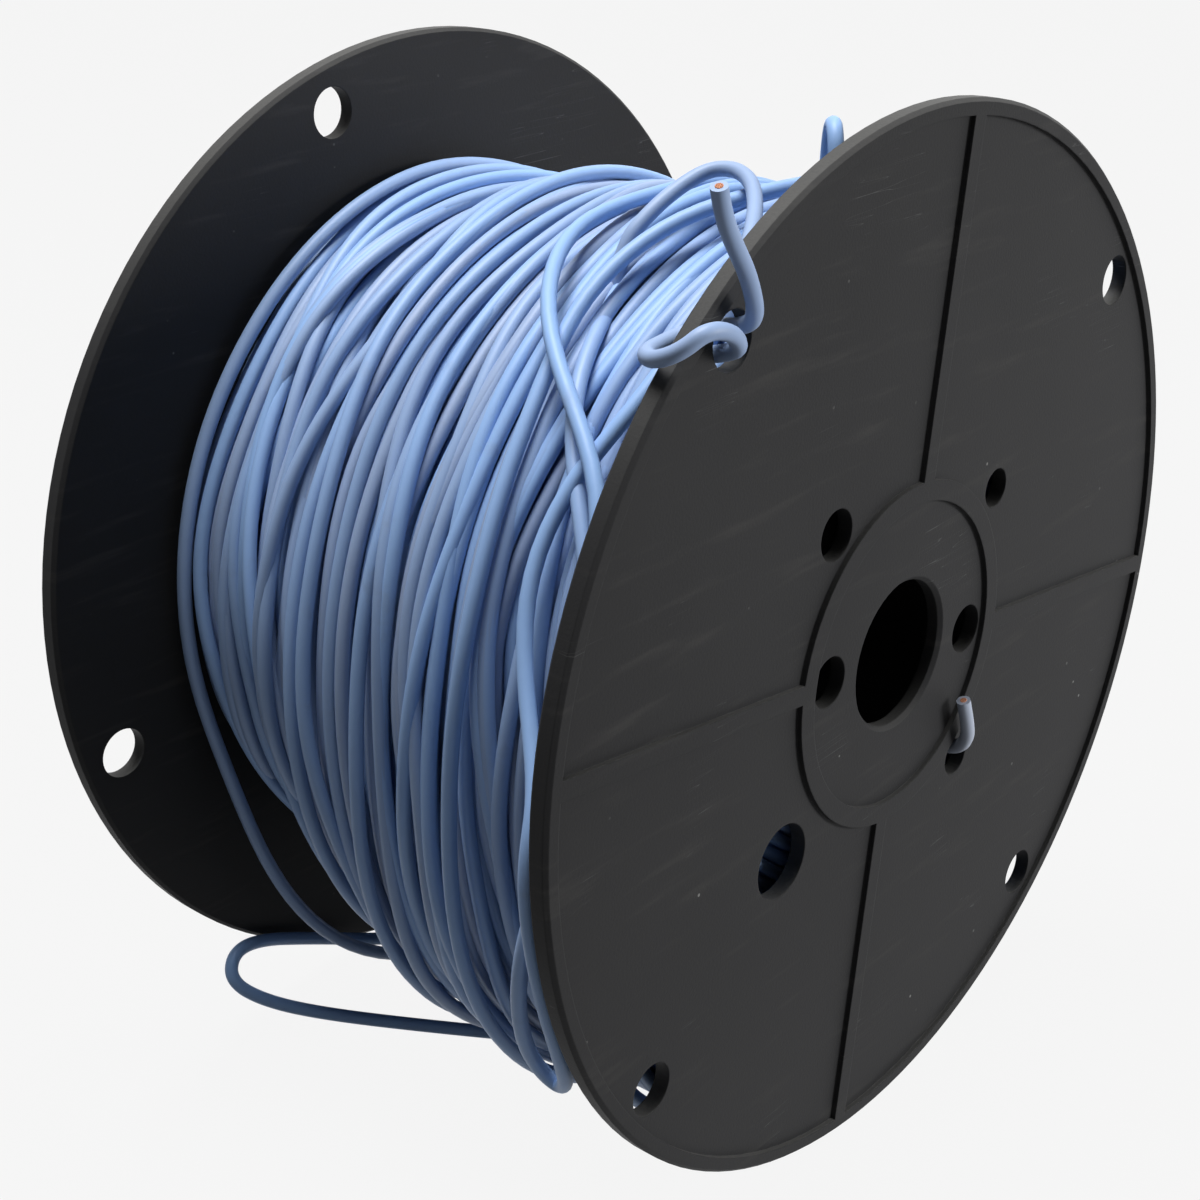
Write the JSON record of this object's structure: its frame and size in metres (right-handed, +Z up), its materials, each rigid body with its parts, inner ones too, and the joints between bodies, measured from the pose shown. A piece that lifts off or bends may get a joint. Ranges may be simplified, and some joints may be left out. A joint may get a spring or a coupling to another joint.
{
  "type": "plastic wire spool part full of insulated wire",
  "caption": "Black moulded plastic spool standing on its rims, part full of loose light-blue insulated wire, its outer end tied through a rim hole",
  "frame": {"origin": "middle of the spool, on its axis, halfway between the outer faces of the flanges", "axes": "+Y along the spool's axis, away from the flange with the tied wire end; +Z up, with the spool standing on its two rims"},
  "size_m": [0.2032, 0.1321, 0.2032],
  "materials": {
    "spool_plastic": "moulded, satin",
    "wire_insulation": "extruded, satin",
    "copper": "cut, bright"
  },
  "bodies": {
    "root": {"front_flange": "spool_plastic", "back_flange": "spool_plastic", "barrel": "spool_plastic", "wire_winding": "wire_insulation", "tied_wire_end": "wire_insulation", "inner_wire_end": "wire_insulation", "floor_loop": "wire_insulation", "top_bight": "wire_insulation"}
  },
  "joints": []
}
